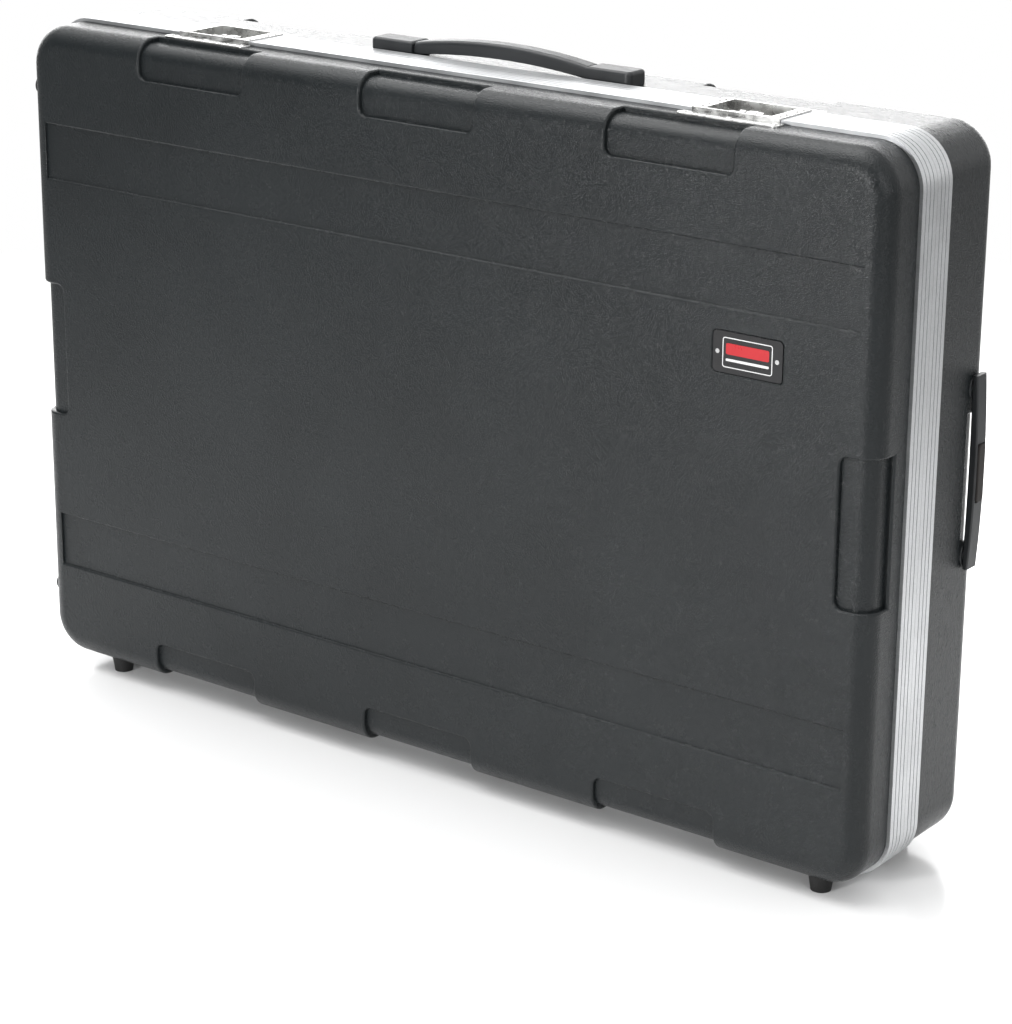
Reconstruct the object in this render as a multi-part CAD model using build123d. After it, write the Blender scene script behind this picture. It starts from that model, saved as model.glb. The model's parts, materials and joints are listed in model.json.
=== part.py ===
"""Moulded mixer case with aluminium edge extrusions, recessed latches, a tow handle and two wheels.

The case stands on its long hinged side.  While it is built, x runs along its length, y runs back
from the lid's flat face, and z runs up from mid height.  save() then moves each piece so that the
origin is on the floor under the middle of the whole case.
"""
from build123d import *
import os

os.makedirs("parts", exist_ok=True)

# Shells
half_length = 500.0
half_height = 334.0
depth = 186.0
parting_y = 73.0
parting_gap = 0.3
wall = 4.0
corner_radius = 40.0
edge_radius = 21.0
hardware_shift = 14.0

# Moulded recesses in both shells
band_low = 180.0
band_high = 235.0
band_depth = 2.5
pocket_depth = 5.0
pocket_reach_y = 30.0
pocket_reach_z = 39.0
pocket_reach_x = 37.0
pocket_corner = 8.0
middle_pocket_half = 66.0
side_pocket_near = 212.0
side_pocket_far = 346.0
end_pocket_half = 69.0

# Aluminium edge extrusions
valance_width = 24.5
valance_proud = 3.5
valance_fit = 0.1
web_thick = 3.0
inner_leg = 2.0
inner_leg_fit = 0.2
tongue_thick = 1.6
tongue_length = 3.6
tongue_clearance = 0.4
tongue_inset = 1.0
groove_width = 1.2
groove_deep = 0.6
groove_count = 3

# Hinges
hinge_spacing = 303.0
hinge_length = 80.0
hinge_rivet_x = 28.0
leaf_thick = 2.0
knuckle_radius = 4.0
knuckle_count = 5
knuckle_gap = 0.3
knuckle_clear = 0.4
pin_radius = 2.0
running_clearance = 0.05

# Rivets and screws
rivet_radius = 1.6
rivet_head_radius = 2.7
rivet_head_height = 1.0
drill_clearance = 0.05
tail_clearance = 0.3
screw_radius = 2.0
screw_head_radius = 4.0
screw_head_height = 2.5
nut_height = 3.0

# Latches
latch_spacing = 606.0
sheet = 1.2
plate_half_length = 52.0
arm_half_length = 45.0
flange_reach = 42.0
flange_width = 15.0
plate_corner = 5.0
dish_half_x = 33.5
dish_half_y = 24.0
dish_depth = 12.2
dish_split_y = 60.0
dish_gap = 0.3
cam_y = 74.0
cam_radius = 6.0
cam_disc_radius = 9.0
cam_disc_thick = 1.5
cam_shaft_radius = 3.0
cam_head_radius = 5.0
hook_half_width = 10.0
hook_thick = 1.6
hook_travel = 2.5
hook_tip_y = 52.0
keeper_height = 1.7
keeper_half = 9.0
keeper_front_y = 53.0
keeper_back_y = 56.0
flange_rivet_x = 46.0
arm_rivet_x = 39.8
arm_rivets_y = [8.5, 18.5]
wing_radius = 21.5
wing_thick = 1.6
wing_pin_radius = 1.2
wing_barrel_radius = 2.2
wing_barrel_length = 5.6

# Carry handle
carry_y = 118.0
carry_length = 304.0
cap_length = 51.0
cap_width = 28.0
cap_height = 13.0
cap_wall = 3.5
cap_solid = 21.0
grip_width = 20.0
grip_rise = 21.0
grip_gap_rise = 7.5
strap_thick = 3.0
grip_end_height = 12.5
backing_thick = 2.0
backing_half_x = 9.0
cap_screw_y = 7.0
cap_top_web = 2.2
cap_side_clear = 0.5
strap_clear = 1.3
strap_end_gap = 1.5
grip_end_gap = 0.5

# Tow handle
tow_inset = 20.5
tow_z = 22.0
tow_pocket_z = 7.0
tow_half = 90.0
tow_end_run = 24.0
tow_tube_spacing = 156.0
tow_outer_radius = 8.0
tow_inner_radius = 6.7
tow_tube_wall = 1.2
tow_tube_fit = 0.1
tow_tube_start = 70.0
tow_inner_start = 95.0
tow_reach = 11.0
tow_grip_thick = 7.5
tow_grip_width = 17.0
tow_grip_round = 1.5
tow_grip_clear = 0.3
tow_end_thick = 5.0
tow_tube_cover = 2.5
tow_bezel_radius = 11.5
tow_bezel_thick = 1.0
tow_bezel_round = 0.8
bracket_length = 22.0
button_half = 27.0
button_width = 11.0
button_proud = 1.5
button_travel = 2.0
button_clear = 0.5
button_web = 2.6
button_pocket = 2.6
spring_radius = 3.2
spring_wire = 0.3
spring_pitch = 1.5
cover_wall = 3.0
cover_room = 3.0
cover_rise = 12.0

# Wheels
wheel_radius = 30.0
wheel_width = 26.0
wheel_z = 270.0
wheel_proud = 7.0
wheel_room = 4.0
housing_wall = 2.8
axle_radius = 4.0
hub_radius = 21.0
hub_rim = 3.0
hub_boss = 9.0
hub_dish = 6.0
tyre_round = 4.0
axle_fit = 0.03
housing_fit = 0.2

# Feet
foot_spacing = 868.0
foot_height = 15.0
foot_radius = 12.0
foot_tip_radius = 9.5
foot_inset = 26.0
end_foot_z = 268.0
end_foot_height = 7.0

# Foam and badge
foam_gap = 0.3
foam_clear = 10.0
foam_wall = 22.0
floor_foam = 27.5
lid_foam = 23.0
badge_x = 367.0
badge_z = 140.0
badge_length = 71.0
badge_height = 37.0
badge_corner = 4.0
badge_thick = 1.5
badge_recess = 2.1
badge_rivet_x = 30.4
badge_rivet_radius = 1.25
badge_head_radius = 2.1
badge_head_height = 0.6
badge_tail_height = 0.8
badge_clearance = 0.3

# Places worked out from the sizes above
joint_lid_y = parting_y - parting_gap / 2
joint_base_y = parting_y + parting_gap / 2
valance_front = parting_y - valance_width
valance_back = parting_y + valance_width
valance_top = half_height + valance_proud
shell_inside = half_height - wall
inner_leg_inset = wall + inner_leg_fit
web_inset = inner_leg_inset + inner_leg
leg_inside = half_height - web_inset
lid_edge_y = joint_lid_y - web_thick - inner_leg_fit
base_web = web_thick + tongue_length - parting_gap
base_edge_y = joint_base_y + base_web + inner_leg_fit
hinge_z = -(valance_top + knuckle_radius + knuckle_clear)
plate_top = valance_top + sheet
dish_floor = plate_top - dish_depth
dish_under = dish_floor - sheet
dish_front = parting_y - dish_half_y
dish_back = parting_y + dish_half_y
disc_low = dish_floor + dish_gap
disc_top = disc_low + cam_disc_thick
hook_low = disc_top + dish_gap
hook_top = hook_low + hook_thick
wing_z = hook_top + wing_barrel_radius + 0.8
cam_top = wing_z + wing_pin_radius + 0.2
carry_left = hardware_shift - carry_length / 2
carry_right = hardware_shift + carry_length / 2
tow_y = depth - tow_inset
wheel_x = -(half_length + wheel_proud - wheel_radius)
wheel_y = depth + wheel_proud - wheel_radius
floor_z = -(half_height + foot_height)
frame_x = (tow_reach - wheel_proud) / 2
frame_y = (depth + wheel_proud) / 2
frame_shift = Pos(-frame_x, -frame_y, -floor_z)
latch_places = [hardware_shift - latch_spacing / 2, hardware_shift + latch_spacing / 2]
latch_names = ["left", "right"]
tow_tubes_z = [tow_z - tow_tube_spacing / 2, tow_z + tow_tube_spacing / 2]
hinge_places = [hardware_shift + hinge_spacing * step for step in (-1, 0, 1)]
foot_places = [hardware_shift - foot_spacing / 2, hardware_shift + foot_spacing / 2]


def save(name, *solids):
    """Write one piece, with the origin on the floor under the middle of the case."""
    shape = solids[0] if len(solids) == 1 else Compound(children=list(solids))
    export_step(frame_shift * shape, f"parts/{name}.step")


def block(x0, x1, y0, y1, z0, z1):
    """Box between two corners."""
    centre = Pos((x0 + x1) / 2, (y0 + y1) / 2, (z0 + z1) / 2)
    return centre * Box(x1 - x0, y1 - y0, z1 - z0)


def rod_x(radius, x0, x1, y, z):
    """Cylinder along x."""
    return Pos((x0 + x1) / 2, y, z) * Rot(0, 90, 0) * Cylinder(radius, x1 - x0)


def rod_y(radius, x, y0, y1, z):
    """Cylinder along y."""
    return Pos(x, (y0 + y1) / 2, z) * Rot(90, 0, 0) * Cylinder(radius, y1 - y0)


def rod_z(radius, x, y, z0, z1):
    """Cylinder along z."""
    return Pos(x, y, (z0 + z1) / 2) * Cylinder(radius, z1 - z0)


def prism_y(outline, y0, y1):
    """Outline drawn as seen from the front, pushed back from y0 to y1."""
    return Pos(0, y0, 0) * Rot(90, 0, 0) * extrude(outline, amount=-(y1 - y0))


def prism_z(outline, z0, z1):
    """Outline drawn as seen from above, raised from z0 to z1."""
    return Pos(0, 0, z0) * extrude(outline, amount=z1 - z0)


def prism_x(outline, x0, x1):
    """Outline drawn in y and z, pushed along x."""
    return Pos(x0, 0, 0) * extrude(Plane.YZ * outline, amount=x1 - x0)


def case_outline(outset):
    """Front view of the case, grown by outset."""
    return RectangleRounded(2 * (half_length + outset), 2 * (half_height + outset), corner_radius + outset)


def ring(outer, inner, y0, y1):
    """Band round the whole case between two outsets."""
    return prism_y(case_outline(outer) - case_outline(inner), y0, y1)


def case_block(inset, edge_y, side):
    """Shell form set in by inset: side -1 is the lid, 1 the base; it ends at edge_y."""
    face_y = inset if side < 0 else depth - inset
    low, high = sorted((face_y, edge_y))
    form = prism_y(case_outline(-inset), low, high)
    face = form.faces().sort_by(Axis.Y)[0 if side < 0 else -1]
    return fillet(face.edges(), edge_radius - inset)


def pocket_windows(side, grow):
    """Boxes round the places where the form is pressed in."""
    beyond = 20.0
    near = -beyond if side < 0 else depth - pocket_reach_y - grow
    far = pocket_reach_y + grow if side < 0 else depth + beyond
    middle = (-middle_pocket_half, middle_pocket_half)
    spans = [middle, (side_pocket_near, side_pocket_far), (-side_pocket_far, -side_pocket_near)]
    windows = []
    for low, high in spans:
        tall = pocket_reach_z + grow + beyond
        outline = RectangleRounded(high - low + 2 * grow, tall, pocket_corner)
        for up in (-1, 1):
            middle_z = up * (half_height + beyond - tall / 2)
            windows.append(prism_y(Pos((low + high) / 2, middle_z) * outline, near, far))
    long = pocket_reach_x + grow + beyond
    for along in (-1, 1):
        towed = side > 0 and along > 0
        outline = RectangleRounded(long, 2 * (end_pocket_half + grow), pocket_corner)
        place = Pos(along * (half_length + beyond - long / 2), tow_pocket_z if towed else 0)
        windows.append(prism_y(place * outline, near, far))
    return windows


def band_boxes(side, grow, start, stop):
    """Two long shallow bands across the flat face, from depth start to depth stop."""
    flat_half = half_length - edge_radius + grow
    y0, y1 = (start, stop) if side < 0 else (depth - stop, depth - start)
    return [block(-flat_half, flat_half, y0, y1, low - grow, high + grow)
            for low, high in ((band_low, band_high), (-band_high, -band_low))]


def moulded_shell(side):
    """Thin shell with pockets and bands pressed into it from outside."""
    edge_y = lid_edge_y if side < 0 else base_edge_y
    past_y = edge_y - side * 10
    outer = case_block(0, edge_y, side) - pocket_windows(side, 0)
    outer += case_block(pocket_depth, edge_y, side)
    outer -= band_boxes(side, 0, -1, band_depth)
    inner = case_block(wall, past_y, side) - pocket_windows(side, wall)
    inner += case_block(pocket_depth + wall, past_y, side)
    inner -= band_boxes(side, wall, 0, band_depth + wall)
    return outer - inner


def valance(side):
    """Edge extrusion: an outer leg, a web across the shell's edge and an inner leg."""
    joint_y = joint_lid_y if side < 0 else joint_base_y
    far_y = valance_front if side < 0 else valance_back
    deep = web_thick if side < 0 else base_web
    web_y = joint_y + side * deep
    leg_y = far_y - side * 1.5
    extrusion = ring(valance_proud, valance_fit, *sorted((joint_y, far_y)))
    extrusion += ring(valance_proud, -web_inset, *sorted((joint_y, web_y)))
    extrusion += ring(-inner_leg_inset, -web_inset, *sorted((joint_y, leg_y)))
    pitch = valance_width / (groove_count + 1)
    for step in range(1, groove_count + 1):
        y = joint_y + side * pitch * step
        skin = valance_proud - groove_deep
        extrusion -= ring(valance_proud + 1, skin, y - groove_width / 2, y + groove_width / 2)
    return extrusion


def tongue(grow, y0, y1):
    """Locating rib along the top and both ends of the lid's extrusion."""
    rib = ring(grow - tongue_inset, -(tongue_inset + tongue_thick + grow), y0, y1)
    if grow > 0:
        return rib
    hinge_side = -(half_height - corner_radius - valance_proud)
    return rib - block(-2 * half_length, 2 * half_length, y0 - 1, y1 + 1, -2 * half_height, hinge_side)


def latch_cut(x):
    """Room for one latch dish in the shells and extrusions."""
    side_room = dish_half_x + sheet + dish_gap
    end_room = dish_half_y + sheet + dish_gap
    return block(x - side_room, x + side_room, parting_y - end_room, parting_y + end_room,
                 dish_under - 4, plate_top + 4)


def latch_rivet_places(side):
    """Offsets from a latch's centre: (along, y, sits on the extrusion)."""
    pocket_end = pocket_reach_y + wall + rivet_head_radius + tail_clearance
    places = [(along, parting_y - pocket_end, False) for along in (-flange_rivet_x, 0.0, flange_rivet_x)]
    places += [(along, arm_y, True) for along in (-arm_rivet_x, arm_rivet_x) for arm_y in arm_rivets_y]
    return [(along, parting_y + side * y, high) for along, y, high in places]


def latch_rivet(x, y, high):
    """Rivet through plate, extrusion and shell, with its formed tail inside."""
    seat = (valance_top if high else half_height) + sheet
    under = leg_inside if high else shell_inside
    rivet = rod_z(rivet_radius, x, y, under, seat)
    dome = rod_z(rivet_head_radius, x, y, seat, seat + rivet_head_height)
    rivet += fillet(dome.edges().group_by(Axis.Z)[-1], rivet_head_height * 0.7)
    return rivet + rod_z(rivet_head_radius, x, y, under - rivet_head_height, under)


def rivet_hole(x, y):
    """Hole for an upright rivet through everything at the top edge."""
    return rod_z(rivet_radius + drill_clearance, x, y, leg_inside - 5, plate_top + 5)


def latch_plate(x, side):
    """Top sheet of one latch half: stepped from the shell up onto the extrusion."""
    inner = dish_gap
    riser = valance_width + 0.2
    profile = [(inner, valance_top), (riser, valance_top), (riser, half_height),
               (flange_reach, half_height), (flange_reach, half_height + sheet),
               (riser + sheet, half_height + sheet), (riser + sheet, plate_top), (inner, plate_top)]
    outline = make_face(Polyline(*[(parting_y + side * y, z) for y, z in profile], close=True))
    plate = prism_x(outline, x - plate_half_length, x + plate_half_length)
    arm = Pos(x, parting_y) * Rectangle(2 * arm_half_length, 2 * flange_reach - flange_width)
    flange_y = parting_y + side * (flange_reach - flange_width / 2)
    flange = Pos(x, flange_y) * RectangleRounded(2 * plate_half_length, flange_width, plate_corner)
    plate &= prism_z(arm + flange, half_height - 2, plate_top + 2)
    for along, y, high in latch_rivet_places(side):
        plate -= rivet_hole(x + along, y)
    return plate


def latch_lid_dish(x):
    """Front half: plate, pan walls, short floor and the keeper that the hook rests over."""
    plate = latch_plate(x, -1)
    outer_x = dish_half_x + sheet
    pan = block(x - outer_x, x + outer_x, dish_front - sheet, joint_lid_y - dish_gap / 2,
                dish_under, plate_top)
    room = block(x - dish_half_x, x + dish_half_x, dish_front, parting_y + 1, dish_floor, plate_top + 1)
    opening = block(x - outer_x, x + outer_x, dish_split_y - dish_gap, parting_y + 1,
                    dish_under - 1, dish_floor)
    pan_walls = pan - room
    floor_cut = block(x - dish_half_x, x + dish_half_x, dish_split_y - dish_gap, parting_y + 1,
                      dish_under - 1, dish_floor + 1)
    keeper = block(x - keeper_half, x + keeper_half, keeper_front_y, keeper_back_y, dish_floor,
                   dish_floor + keeper_height)
    return plate - room + (pan_walls - floor_cut - opening) + keeper


def latch_base_dish(x):
    """Back half: plate, pan walls, and a floor that reaches forward under the cam."""
    plate = latch_plate(x, 1)
    outer_x = dish_half_x + sheet
    tongue_x = dish_half_x - 0.7
    pan = block(x - outer_x, x + outer_x, joint_base_y + dish_gap / 2, dish_back + sheet,
                dish_under, plate_top)
    room = block(x - dish_half_x, x + dish_half_x, parting_y - 1, dish_back, dish_floor, plate_top + 1)
    floor = block(x - tongue_x, x + tongue_x, dish_split_y, dish_back, dish_under, dish_floor)
    hole = rod_z(cam_shaft_radius + running_clearance, x, cam_y, dish_under - 1, dish_floor + 1)
    return plate - room + (pan - room) + floor - hole


def latch_cam(x):
    """Turning spindle with its cam disc, the wing's cross pin and a peened head below."""
    cam = rod_z(cam_disc_radius, x, cam_y, disc_low, disc_top)
    cam += rod_z(cam_radius, x, cam_y, disc_low, cam_top)
    cam += rod_z(cam_shaft_radius, x, cam_y, dish_under - dish_gap - 1, disc_low)
    cam += rod_z(cam_head_radius, x, cam_y, dish_under - dish_gap - 1.6, dish_under - dish_gap)
    pin_half = cam_radius + 0.4 + wing_barrel_length
    return cam + rod_x(wing_pin_radius, x - pin_half, x + pin_half, cam_y, wing_z)


def latch_hook(x):
    """Sliding draw plate with a slot round the cam and a waisted nose."""
    slot_radius = cam_radius + 0.4
    back = Pos(x, cam_y + hook_travel) * Circle(hook_half_width)
    nose_y = (hook_tip_y + cam_y) / 2
    nose = Pos(x, nose_y) * Rectangle(1.5 * hook_half_width, cam_y - hook_tip_y)
    tip = Pos(x, hook_tip_y + 2.5) * RectangleRounded(2 * hook_half_width, 5, 1.5)
    slot = Pos(x, cam_y + hook_travel / 2) * Rot(0, 0, 90) * SlotCenterToCenter(hook_travel, 2 * slot_radius)
    ring_front = Pos(x, cam_y) * Circle(hook_half_width)
    return prism_z(back + ring_front + nose + tip - slot, hook_low, hook_top)


def latch_wing(x):
    """Folding two-lobed key that lies flat in front of the cam."""
    clear = cam_radius + 0.6
    disc = Pos(x, cam_y) * Circle(wing_radius)
    half = Pos(x, cam_y - wing_radius) * Rectangle(2 * wing_radius, 2 * wing_radius)
    notch = Pos(x, cam_y) * Rectangle(2 * clear, 2 * (clear + 0.6))
    bite = Pos(x, cam_y - wing_radius - 1.5) * Circle(7)
    outline = (disc & half) - notch - bite
    wing = prism_z(outline, wing_z - wing_thick / 2, wing_z + wing_thick / 2)
    for side in (-1, 1):
        near = x + side * (cam_radius + 0.4)
        far = near + side * wing_barrel_length
        wing += rod_x(wing_barrel_radius, min(near, far), max(near, far), cam_y, wing_z)
    bore = wing_pin_radius + running_clearance
    return wing - rod_x(bore, x - wing_radius, x + wing_radius, cam_y, wing_z)


def hinge_rivet_places(x, side):
    """Two rivets through each leaf."""
    y = parting_y + side * valance_width / 2
    return [(x + along, y) for along in (-hinge_rivet_x, hinge_rivet_x)]


def hinge_rivet(x, y):
    """Rivet through leaf, extrusion and shell at the bottom edge."""
    seat = -(valance_top + leaf_thick)
    rivet = rod_z(rivet_radius, x, y, seat, -leg_inside)
    rivet += rod_z(rivet_head_radius, x, y, seat - rivet_head_height, seat)
    return rivet + rod_z(rivet_head_radius, x, y, -leg_inside, -leg_inside + rivet_head_height)


def hinge_leaf(x, side):
    """Flat leaf under the extrusion, rolled round the pin at every other knuckle."""
    near_y = parting_y + side * (knuckle_radius + knuckle_clear)
    far_y = parting_y + side * (valance_width - 1)
    left = x - hinge_length / 2
    y0, y1 = sorted((near_y, far_y))
    leaf = block(left, left + hinge_length, y0, y1, -(valance_top + leaf_thick), -valance_top)
    pitch = hinge_length / knuckle_count
    first = 0 if side > 0 else 1
    for index in range(first, knuckle_count, 2):
        low = left + index * pitch + knuckle_gap / 2
        high = low + pitch - knuckle_gap
        root_y0, root_y1 = sorted((parting_y, near_y + side))
        root_top = hinge_z + knuckle_radius
        leaf += rod_x(knuckle_radius, low, high, parting_y, hinge_z)
        leaf += block(low, high, root_y0, root_y1, root_top - leaf_thick, root_top)
    leaf -= rod_x(pin_radius + running_clearance, left - 1, left + hinge_length + 1, parting_y, hinge_z)
    for rivet_x, rivet_y in hinge_rivet_places(x, side):
        leaf -= rod_z(rivet_radius + drill_clearance, rivet_x, rivet_y, hinge_z, 0)
    return leaf


def foot_parts(x, y, z, height, turn):
    """Tapered rubber foot, its screw and its nut, pointing down from the origin of turn."""
    seat = Pos(x, y, z) * turn
    rise = 3.5
    taper = (foot_radius - foot_tip_radius) * rise / height
    rubber = Pos(0, 0, (rise - height) / 2) * Rot(180, 0, 0) * Cone(
        foot_radius + taper, foot_tip_radius, height + rise)
    head_low = -height + 1.5
    rubber -= rod_z(screw_head_radius + 0.3, 0, 0, -height - 1, head_low + screw_head_height)
    rubber -= rod_z(screw_radius + drill_clearance, 0, 0, -height, rise + 1)
    screw = rod_z(screw_head_radius, 0, 0, head_low, head_low + screw_head_height)
    screw += rod_z(screw_radius, 0, 0, head_low, wall + nut_height)
    nut = Pos(0, 0, wall) * extrude(RegularPolygon(screw_head_radius, 6), amount=nut_height)
    nut -= rod_z(screw_radius + drill_clearance, 0, 0, 0, wall + nut_height + 1)
    return seat * rubber, seat * screw, seat * nut


def foot_hole(x, y, z, turn):
    """Hole through the shell wall for a foot's screw."""
    return Pos(x, y, z) * turn * rod_z(screw_radius + drill_clearance, 0, 0, -wall, 2 * wall)


# Shells before their holes
lid_shell = moulded_shell(-1)
base_shell = moulded_shell(1)
lid_valance = valance(-1) + tongue(0, joint_lid_y - 1, joint_lid_y + tongue_length)
base_valance = valance(1) - tongue(tongue_clearance, joint_base_y - 1, joint_lid_y + tongue_length + 1)
seat_lid = case_block(-0.1, parting_y, -1)
seat_base = case_block(-0.1, parting_y, 1)

# Latches
lid_rivets = []
base_rivets = []
for name, x in zip(latch_names, latch_places):
    cut = latch_cut(x)
    lid_shell -= cut
    base_shell -= cut
    lid_valance -= cut
    base_valance -= cut
    for along, y, high in latch_rivet_places(-1):
        lid_rivets.append(latch_rivet(x + along, y, high))
        lid_shell -= rivet_hole(x + along, y)
        lid_valance -= rivet_hole(x + along, y)
    for along, y, high in latch_rivet_places(1):
        base_rivets.append(latch_rivet(x + along, y, high))
        base_shell -= rivet_hole(x + along, y)
        base_valance -= rivet_hole(x + along, y)
    save(f"latch_{name}_lid_dish", latch_lid_dish(x))
    save(f"latch_{name}_base_dish", latch_base_dish(x))
    save(f"latch_{name}_cam", latch_cam(x))
    save(f"latch_{name}_hook", latch_hook(x))
    save(f"latch_{name}_wing", latch_wing(x))
save("latch_rivets_lid", *lid_rivets)
save("latch_rivets_base", *base_rivets)

# Hinges
lid_hinge_rivets = []
base_hinge_rivets = []
hinge_pins = []
for number, x in enumerate(hinge_places, 1):
    for side, rivets in ((-1, lid_hinge_rivets), (1, base_hinge_rivets)):
        for rivet_x, rivet_y in hinge_rivet_places(x, side):
            hole = rod_z(rivet_radius + drill_clearance, rivet_x, rivet_y, hinge_z, -leg_inside + 2)
            rivets.append(hinge_rivet(rivet_x, rivet_y))
            if side < 0:
                lid_shell -= hole
                lid_valance -= hole
            else:
                base_shell -= hole
                base_valance -= hole
    save(f"hinge_{number}_lid_leaf", hinge_leaf(x, -1))
    save(f"hinge_{number}_base_leaf", hinge_leaf(x, 1))
    pin_half = hinge_length / 2
    hinge_pins.append(rod_x(pin_radius, x - pin_half, x + pin_half, parting_y, hinge_z))
save("hinge_pins", *hinge_pins)
save("hinge_rivets_lid", *lid_hinge_rivets)
save("hinge_rivets_base", *base_hinge_rivets)

# Feet: four under the case and two on the lid's left end
upright = Rot(0, 0, 0)
sideways = Rot(0, 90, 0)
lid_feet, lid_screws, lid_nuts = [], [], []
base_feet, base_screws, base_nuts = [], [], []
for x in foot_places:
    for y, seat, feet, screws, nuts in (
            (foot_inset, seat_lid, lid_feet, lid_screws, lid_nuts),
            (depth - foot_inset, seat_base, base_feet, base_screws, base_nuts)):
        rubber, screw, nut = foot_parts(x, y, -half_height, foot_height, upright)
        feet.append(rubber - seat)
        screws.append(screw)
        nuts.append(nut)
    lid_shell -= foot_hole(x, foot_inset, -half_height, upright)
    base_shell -= foot_hole(x, depth - foot_inset, -half_height, upright)
end_feet = []
for z in (-end_foot_z, end_foot_z):
    rubber, screw, nut = foot_parts(-half_length, foot_inset, z, end_foot_height, sideways)
    end_feet.append(rubber - seat_lid)
    lid_screws.append(screw)
    lid_nuts.append(nut)
    lid_shell -= foot_hole(-half_length, foot_inset, z, sideways)
save("feet_lid", *lid_feet)
save("feet_base", *base_feet)
save("feet_lid_end", *end_feet)
save("foot_screws_lid", *lid_screws)
save("foot_screws_base", *base_screws)
save("foot_nuts_lid", *lid_nuts)
save("foot_nuts_base", *base_nuts)

# Badge
badge_outline = RectangleRounded(badge_length, badge_height, badge_corner)
badge_place = Pos(badge_x, badge_z)
badge_front = badge_recess - badge_thick
badge_plate = prism_y(badge_place * badge_outline, badge_front, badge_recess)
badge_room = RectangleRounded(badge_length + 2 * badge_clearance, badge_height + 2 * badge_clearance, badge_corner)
lid_shell -= prism_y(badge_place * badge_room, -1, badge_recess)
badge_rivets = []
for along in (-badge_rivet_x, badge_rivet_x):
    x = badge_x + along
    hole = rod_y(badge_rivet_radius + drill_clearance, x, -2, wall + 2, badge_z)
    badge_plate -= hole
    lid_shell -= hole
    rivet = rod_y(badge_rivet_radius, x, badge_front, wall, badge_z)
    rivet += rod_y(badge_head_radius, x, wall, wall + badge_tail_height, badge_z)
    badge_rivets.append(rivet + rod_y(badge_head_radius, x, badge_front - badge_head_height, badge_front, badge_z))
save("badge_plate", badge_plate)
save("badge_rivets", *badge_rivets)

# Carry handle on the base shell's top
cap_top = half_height + cap_height
strap_low = half_height + strap_clear
strap_top = strap_low + strap_thick
carry_screws = []
backing_plates = []
for name, outer_x, inward in (("left", carry_left, 1), ("right", carry_right, -1)):
    inner_x = outer_x + inward * cap_length
    y0, y1 = carry_y - cap_width / 2, carry_y + cap_width / 2
    cap = block(*sorted((outer_x, inner_x)), y0, y1, half_height, cap_top)
    ends = cap.faces().sort_by(Axis.X)[0 if inward > 0 else -1].edges()
    cap = fillet(ends.filter_by(Axis.Z), 6)
    cap = fillet(cap.faces().sort_by(Axis.Z)[-1].edges(), 3.5)
    room_x = outer_x + inward * cap_solid
    room_half = grip_width / 2 + cap_side_clear
    cap -= block(*sorted((room_x, inner_x + inward)), carry_y - room_half, carry_y + room_half,
                 half_height - 1, cap_top - cap_top_web)
    screw_x = outer_x + inward * cap_solid / 2
    for across in (-cap_screw_y, cap_screw_y):
        screw_y = carry_y + across
        head = shell_inside - backing_thick
        drill = rod_z(screw_radius + drill_clearance, screw_x, screw_y, head - 1, cap_top - 3.5)
        cap -= drill
        base_shell -= drill
        screw = rod_z(screw_radius, screw_x, screw_y, head, cap_top - 4)
        screw += rod_z(screw_head_radius, screw_x, screw_y, head - screw_head_height, head)
        carry_screws.append(screw)
    plate = block(screw_x - backing_half_x, screw_x + backing_half_x, y0, y1, shell_inside - backing_thick,
                  shell_inside)
    for across in (-cap_screw_y, cap_screw_y):
        plate -= rod_z(screw_radius + drill_clearance, screw_x, carry_y + across, 0, cap_top)
    backing_plates.append(plate)
    save(f"carry_cap_{name}", cap)
save("carry_screws", *carry_screws)
save("carry_backing_plates", *backing_plates)

tab_left = carry_left + cap_solid + strap_end_gap
tab_right = carry_right - cap_solid - strap_end_gap
grip_left = carry_left + cap_length + grip_end_gap
grip_right = carry_right - cap_length - grip_end_gap
grip_end_top = half_height + grip_end_height
under = Polyline((grip_left, strap_top), (tab_left, strap_top), (tab_left, strap_low), (grip_left + 3, strap_low))
under_arc = ThreePointArc((grip_left + 3, strap_low), (hardware_shift, half_height + grip_gap_rise),
                          (grip_right - 3, strap_low))
far_end = Polyline((grip_right - 3, strap_low), (tab_right, strap_low), (tab_right, strap_top),
                   (grip_right, strap_top), (grip_right, grip_end_top))
over_arc = ThreePointArc((grip_right, grip_end_top), (hardware_shift, half_height + grip_rise),
                         (grip_left, grip_end_top))
near_end = Line((grip_left, grip_end_top), (grip_left, strap_top))
grip_outline = make_face(Wire([*under.edges(), *under_arc.edges(), *far_end.edges(), *over_arc.edges(),
                               *near_end.edges()]))
carry_grip = prism_y(grip_outline, carry_y - grip_width / 2, carry_y + grip_width / 2)
arc_edges = [edge for edge in carry_grip.edges().filter_by(GeomType.CIRCLE)
             if edge.center().Z > half_height + grip_gap_rise + 2]
carry_grip = fillet(arc_edges, 4)
save("carry_grip", carry_grip)

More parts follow.
